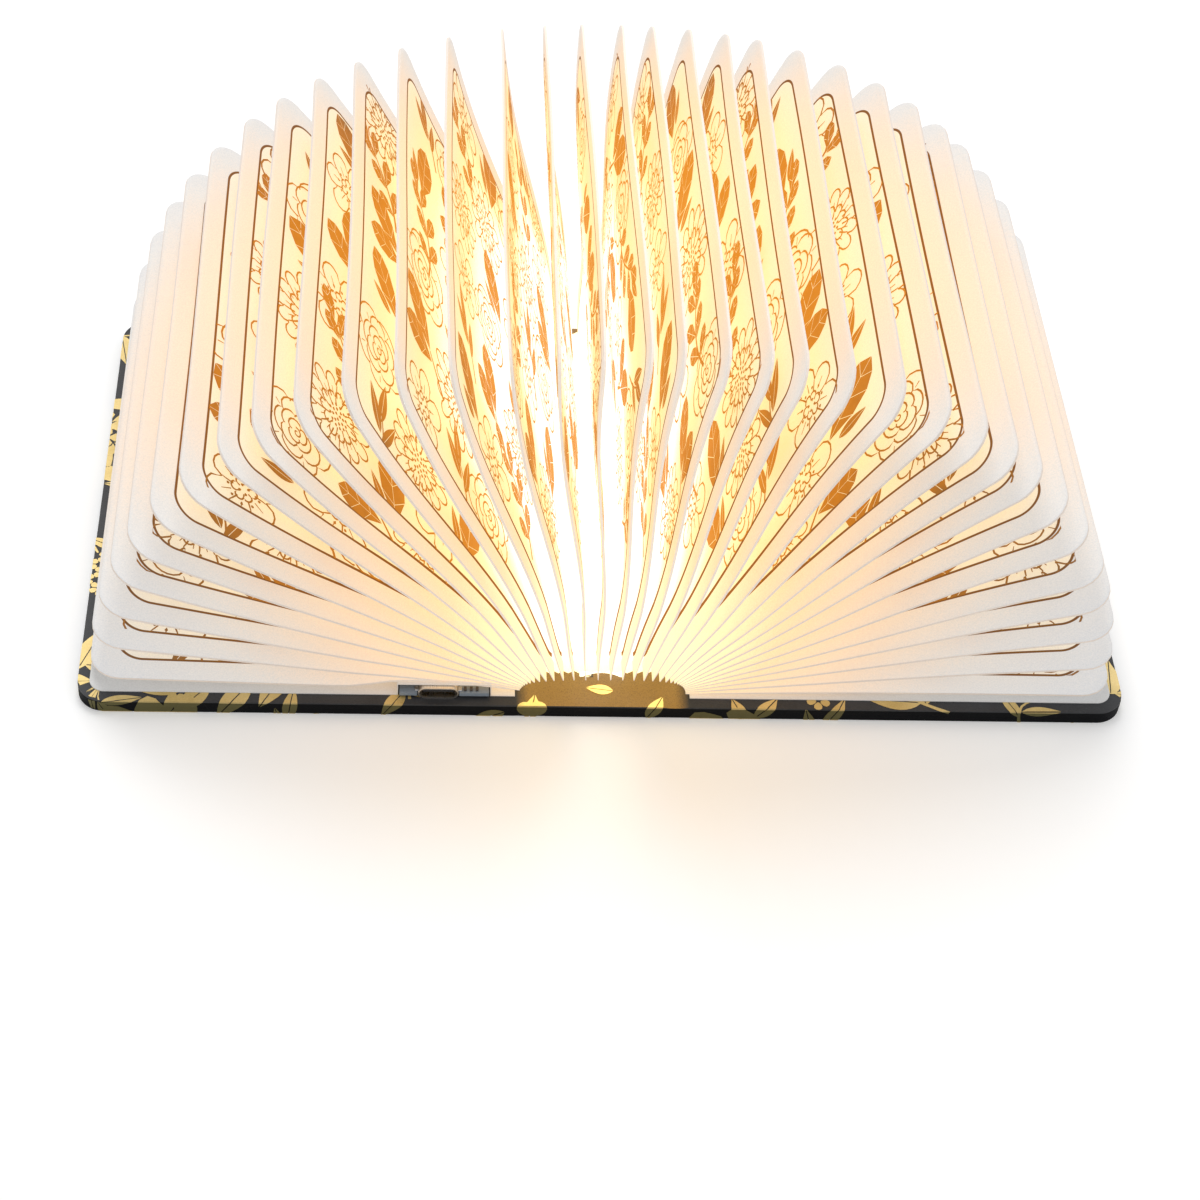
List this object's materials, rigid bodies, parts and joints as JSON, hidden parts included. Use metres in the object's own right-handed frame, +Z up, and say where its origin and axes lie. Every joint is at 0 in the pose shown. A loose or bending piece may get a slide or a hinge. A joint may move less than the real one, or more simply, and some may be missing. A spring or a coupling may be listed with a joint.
{
  "type": "folding book lamp",
  "caption": "Folding book lamp: a hard cover opens flat and its joined page pockets fan out in an arch over an LED strip on the spine.",
  "frame": {"origin": "on the table, under the middle of the open spine", "axes": "+X across the open cover towards the right board, +Y along the spine from its tail (the end with the inlet) to its head, +Z up"},
  "size_m": [0.23, 0.125, 0.1023],
  "materials": {
    "greyboard": "matte",
    "leatherette": "matte",
    "lining": "matte",
    "endpaper": "matte",
    "page_sheet": "matte",
    "channel": "satin",
    "led_board": "satin",
    "led": "satin",
    "diffuser": "satin",
    "ribbon": "satin",
    "circuit_board": "satin",
    "foam": "matte",
    "chips": "satin",
    "usb_shell": "satin",
    "usb_tongue": "satin",
    "battery": "satin",
    "leads": "satin",
    "magnet": "polished"
  },
  "bodies": {
    "spine": {"spine_board": "greyboard", "cover_wrap_spine": "leatherette", "spine_lining": "lining", "valley_folds": "page_sheet", "led_channel": "channel", "led_board": "led_board", "led_chips": "led", "led_diffuser": "diffuser"},
    "left_cover": {"cover_board_left": "greyboard", "cover_wrap_left": "leatherette", "hinge_strip_left": "leatherette", "endpaper_left": "endpaper", "led_ribbon": "ribbon", "main_board": "circuit_board", "board_tape": "foam", "board_chips": "chips", "hall_sensor": "chips", "usb_shell": "usb_shell", "usb_tongue": "usb_tongue", "battery_pouch": "battery", "battery_leads": "leads"},
    "right_cover": {"cover_board_right": "greyboard", "cover_wrap_right": "leatherette", "hinge_strip_right": "leatherette", "endpaper_right": "endpaper", "switch_magnet": "magnet"},
    "page_01": {"leaf_01": "page_sheet"},
    "page_02": {"leaf_02": "page_sheet"},
    "page_03": {"leaf_03": "page_sheet"},
    "page_04": {"leaf_04": "page_sheet"},
    "page_05": {"leaf_05": "page_sheet"},
    "page_06": {"leaf_06": "page_sheet"},
    "page_07": {"leaf_07": "page_sheet"},
    "page_08": {"leaf_08": "page_sheet"},
    "page_09": {"leaf_09": "page_sheet"},
    "page_10": {"leaf_10": "page_sheet"},
    "page_11": {"leaf_11": "page_sheet"},
    "page_12": {"leaf_12": "page_sheet"},
    "page_13": {"leaf_13": "page_sheet"},
    "page_14": {"leaf_14": "page_sheet"},
    "page_15": {"leaf_15": "page_sheet"},
    "page_16": {"leaf_16": "page_sheet"},
    "page_17": {"leaf_17": "page_sheet"},
    "page_18": {"leaf_18": "page_sheet"},
    "page_19": {"leaf_19": "page_sheet"},
    "page_20": {"leaf_20": "page_sheet"},
    "page_21": {"leaf_21": "page_sheet"},
    "page_22": {"leaf_22": "page_sheet"},
    "page_23": {"leaf_23": "page_sheet"},
    "page_24": {"leaf_24": "page_sheet"},
    "page_25": {"leaf_25": "page_sheet"},
    "page_26": {"leaf_26": "page_sheet"},
    "page_27": {"leaf_27": "page_sheet"},
    "page_28": {"leaf_28": "page_sheet"},
    "page_29": {"leaf_29": "page_sheet"},
    "page_30": {"leaf_30": "page_sheet"},
    "page_31": {"leaf_31": "page_sheet"},
    "page_32": {"leaf_32": "page_sheet"},
    "page_33": {"leaf_33": "page_sheet"},
    "page_34": {"leaf_34": "page_sheet"}
  },
  "joints": [
    {"name": "left_fold", "type": "hinge", "parent": "spine", "child": "left_cover", "pos_m": [-0.0125, 0, 0], "axis": [0, 1, 0], "range_deg": [0, 90], "deforming": ["hinge_strip_left", "led_ribbon", "valley_folds"]},
    {"name": "right_fold", "type": "hinge", "parent": "spine", "child": "right_cover", "pos_m": [0.0125, 0, 0], "axis": [0, -1, 0], "range_deg": [0, 90], "deforming": ["hinge_strip_right", "valley_folds"]},
    {"name": "page_01_turn", "type": "hinge", "parent": "spine", "child": "page_01", "pos_m": [-0.01063, 0, -0.00157], "axis": [0, 1, 0], "range_deg": [0, 88.01]},
    {"name": "page_02_turn", "type": "hinge", "parent": "spine", "child": "page_02", "pos_m": [-0.01052, 0, -0.00224], "axis": [0, 1, 0], "range_deg": [0, 82.08]},
    {"name": "page_03_turn", "type": "hinge", "parent": "spine", "child": "page_03", "pos_m": [-0.01041, 0, -0.00303], "axis": [0, 1, 0], "range_deg": [0, 76.09]},
    {"name": "page_04_turn", "type": "hinge", "parent": "spine", "child": "page_04", "pos_m": [-0.01031, 0, -0.00398], "axis": [0, 1, 0], "range_deg": [0, 70.04]},
    {"name": "page_05_turn", "type": "hinge", "parent": "spine", "child": "page_05", "pos_m": [-0.0102, 0, -0.00509], "axis": [0, 1, 0], "range_deg": [0, 63.96]},
    {"name": "page_06_turn", "type": "hinge", "parent": "spine", "child": "page_06", "pos_m": [-0.01009, 0, -0.00638], "axis": [0, 1, 0], "range_deg": [0, 57.87]},
    {"name": "page_07_turn", "type": "hinge", "parent": "spine", "child": "page_07", "pos_m": [-0.00996, 0, -0.00787], "axis": [0, 1, 0], "range_deg": [0, 51.79]},
    {"name": "page_08_turn", "type": "hinge", "parent": "spine", "child": "page_08", "pos_m": [-0.00983, 0, -0.00956], "axis": [0, 1, 0], "range_deg": [0, 45.74]},
    {"name": "page_09_turn", "type": "hinge", "parent": "spine", "child": "page_09", "pos_m": [-0.00968, 0, -0.01148], "axis": [0, 1, 0], "range_deg": [0, 39.74]},
    {"name": "page_10_turn", "type": "hinge", "parent": "spine", "child": "page_10", "pos_m": [-0.00954, 0, -0.01362], "axis": [0, 1, 0], "range_deg": [0, 33.83]},
    {"name": "page_11_turn", "type": "hinge", "parent": "spine", "child": "page_11", "pos_m": [-0.00946, 0, -0.016], "axis": [0, 1, 0], "range_deg": [0, 28.03]},
    {"name": "page_12_turn", "type": "hinge", "parent": "spine", "child": "page_12", "pos_m": [-0.00957, 0, -0.01865], "axis": [0, 1, 0], "range_deg": [0, 22.38]},
    {"name": "page_13_turn", "type": "hinge", "parent": "spine", "child": "page_13", "pos_m": [-0.01014, 0, -0.02165], "axis": [0, 1, 0], "range_deg": [0, 16.92]},
    {"name": "page_14_turn", "type": "hinge", "parent": "spine", "child": "page_14", "pos_m": [-0.01194, 0, -0.02532], "axis": [0, 1, 0], "range_deg": [0, 11.7]},
    {"name": "page_15_turn", "type": "hinge", "parent": "spine", "child": "page_15", "pos_m": [-0.01768, 0, -0.03095], "axis": [0, 1, 0], "range_deg": [0, 6.79]},
    {"name": "page_16_turn", "type": "hinge", "parent": "spine", "child": "page_16", "pos_m": [-0.04908, 0, -0.04895], "axis": [0, 1, 0], "range_deg": [0, 2.31]},
    {"name": "page_17_turn", "type": "hinge", "parent": "spine", "child": "page_17", "pos_m": [0.07645, 0, 0.00549], "axis": [0, -1, 0], "range_deg": [0, 1.54]},
    {"name": "page_18_turn", "type": "hinge", "parent": "spine", "child": "page_18", "pos_m": [0.02991, 0, -0.02318], "axis": [0, -1, 0], "range_deg": [0, 4.27]},
    {"name": "page_19_turn", "type": "hinge", "parent": "spine", "child": "page_19", "pos_m": [0.01854, 0, -0.02345], "axis": [0, -1, 0], "range_deg": [0, 8.01]},
    {"name": "page_20_turn", "type": "hinge", "parent": "spine", "child": "page_20", "pos_m": [0.01459, 0, -0.02081], "axis": [0, -1, 0], "range_deg": [0, 12.36]},
    {"name": "page_21_turn", "type": "hinge", "parent": "spine", "child": "page_21", "pos_m": [0.01298, 0, -0.01796], "axis": [0, -1, 0], "range_deg": [0, 17.1]},
    {"name": "page_22_turn", "type": "hinge", "parent": "spine", "child": "page_22", "pos_m": [0.01229, 0, -0.01527], "axis": [0, -1, 0], "range_deg": [0, 22.09]},
    {"name": "page_23_turn", "type": "hinge", "parent": "spine", "child": "page_23", "pos_m": [0.012, 0, -0.01282], "axis": [0, -1, 0], "range_deg": [0, 27.29]},
    {"name": "page_24_turn", "type": "hinge", "parent": "spine", "child": "page_24", "pos_m": [0.01189, 0, -0.01063], "axis": [0, -1, 0], "range_deg": [0, 32.62]},
    {"name": "page_25_turn", "type": "hinge", "parent": "spine", "child": "page_25", "pos_m": [0.01187, 0, -0.0087], "axis": [0, -1, 0], "range_deg": [0, 38.06]},
    {"name": "page_26_turn", "type": "hinge", "parent": "spine", "child": "page_26", "pos_m": [0.01188, 0, -0.00701], "axis": [0, -1, 0], "range_deg": [0, 43.57]},
    {"name": "page_27_turn", "type": "hinge", "parent": "spine", "child": "page_27", "pos_m": [0.01191, 0, -0.00554], "axis": [0, -1, 0], "range_deg": [0, 49.11]},
    {"name": "page_28_turn", "type": "hinge", "parent": "spine", "child": "page_28", "pos_m": [0.01195, 0, -0.00427], "axis": [0, -1, 0], "range_deg": [0, 54.67]},
    {"name": "page_29_turn", "type": "hinge", "parent": "spine", "child": "page_29", "pos_m": [0.01199, 0, -0.00319], "axis": [0, -1, 0], "range_deg": [0, 60.22]},
    {"name": "page_30_turn", "type": "hinge", "parent": "spine", "child": "page_30", "pos_m": [0.01204, 0, -0.00227], "axis": [0, -1, 0], "range_deg": [0, 65.73]},
    {"name": "page_31_turn", "type": "hinge", "parent": "spine", "child": "page_31", "pos_m": [0.0121, 0, -0.0015], "axis": [0, -1, 0], "range_deg": [0, 71.18]},
    {"name": "page_32_turn", "type": "hinge", "parent": "spine", "child": "page_32", "pos_m": [0.01216, 0, -0.00085], "axis": [0, -1, 0], "range_deg": [0, 76.56]},
    {"name": "page_33_turn", "type": "hinge", "parent": "spine", "child": "page_33", "pos_m": [0.01223, 0, -0.00032], "axis": [0, -1, 0], "range_deg": [0, 81.84]},
    {"name": "page_34_turn", "type": "hinge", "parent": "spine", "child": "page_34", "pos_m": [0.01231, 0, 0.00011], "axis": [0, -1, 0], "range_deg": [0, 87.01]}
  ],
  "couplings": [
    {"joint": "page_01_turn", "follows": "left_fold", "ratio": 0.97778},
    {"joint": "page_02_turn", "follows": "left_fold", "ratio": 0.91194},
    {"joint": "page_03_turn", "follows": "left_fold", "ratio": 0.84533},
    {"joint": "page_04_turn", "follows": "left_fold", "ratio": 0.77813},
    {"joint": "page_05_turn", "follows": "left_fold", "ratio": 0.71057},
    {"joint": "page_06_turn", "follows": "left_fold", "ratio": 0.64288},
    {"joint": "page_07_turn", "follows": "left_fold", "ratio": 0.57529},
    {"joint": "page_08_turn", "follows": "left_fold", "ratio": 0.50806},
    {"joint": "page_09_turn", "follows": "left_fold", "ratio": 0.44145},
    {"joint": "page_10_turn", "follows": "left_fold", "ratio": 0.37577},
    {"joint": "page_11_turn", "follows": "left_fold", "ratio": 0.31135},
    {"joint": "page_12_turn", "follows": "left_fold", "ratio": 0.24857},
    {"joint": "page_13_turn", "follows": "left_fold", "ratio": 0.18788},
    {"joint": "page_14_turn", "follows": "left_fold", "ratio": 0.12988},
    {"joint": "page_15_turn", "follows": "left_fold", "ratio": 0.075339},
    {"joint": "page_16_turn", "follows": "left_fold", "ratio": 0.025514},
    {"joint": "page_17_turn", "follows": "right_fold", "ratio": 0.016959},
    {"joint": "page_18_turn", "follows": "right_fold", "ratio": 0.047291},
    {"joint": "page_19_turn", "follows": "right_fold", "ratio": 0.088884},
    {"joint": "page_20_turn", "follows": "right_fold", "ratio": 0.13727},
    {"joint": "page_21_turn", "follows": "right_fold", "ratio": 0.18985},
    {"joint": "page_22_turn", "follows": "right_fold", "ratio": 0.24537},
    {"joint": "page_23_turn", "follows": "right_fold", "ratio": 0.30307},
    {"joint": "page_24_turn", "follows": "right_fold", "ratio": 0.36235},
    {"joint": "page_25_turn", "follows": "right_fold", "ratio": 0.42279},
    {"joint": "page_26_turn", "follows": "right_fold", "ratio": 0.48398},
    {"joint": "page_27_turn", "follows": "right_fold", "ratio": 0.5456},
    {"joint": "page_28_turn", "follows": "right_fold", "ratio": 0.60735},
    {"joint": "page_29_turn", "follows": "right_fold", "ratio": 0.66897},
    {"joint": "page_30_turn", "follows": "right_fold", "ratio": 0.7302},
    {"joint": "page_31_turn", "follows": "right_fold", "ratio": 0.7908},
    {"joint": "page_32_turn", "follows": "right_fold", "ratio": 0.85056},
    {"joint": "page_33_turn", "follows": "right_fold", "ratio": 0.90925},
    {"joint": "page_34_turn", "follows": "right_fold", "ratio": 0.96667}
  ]
}
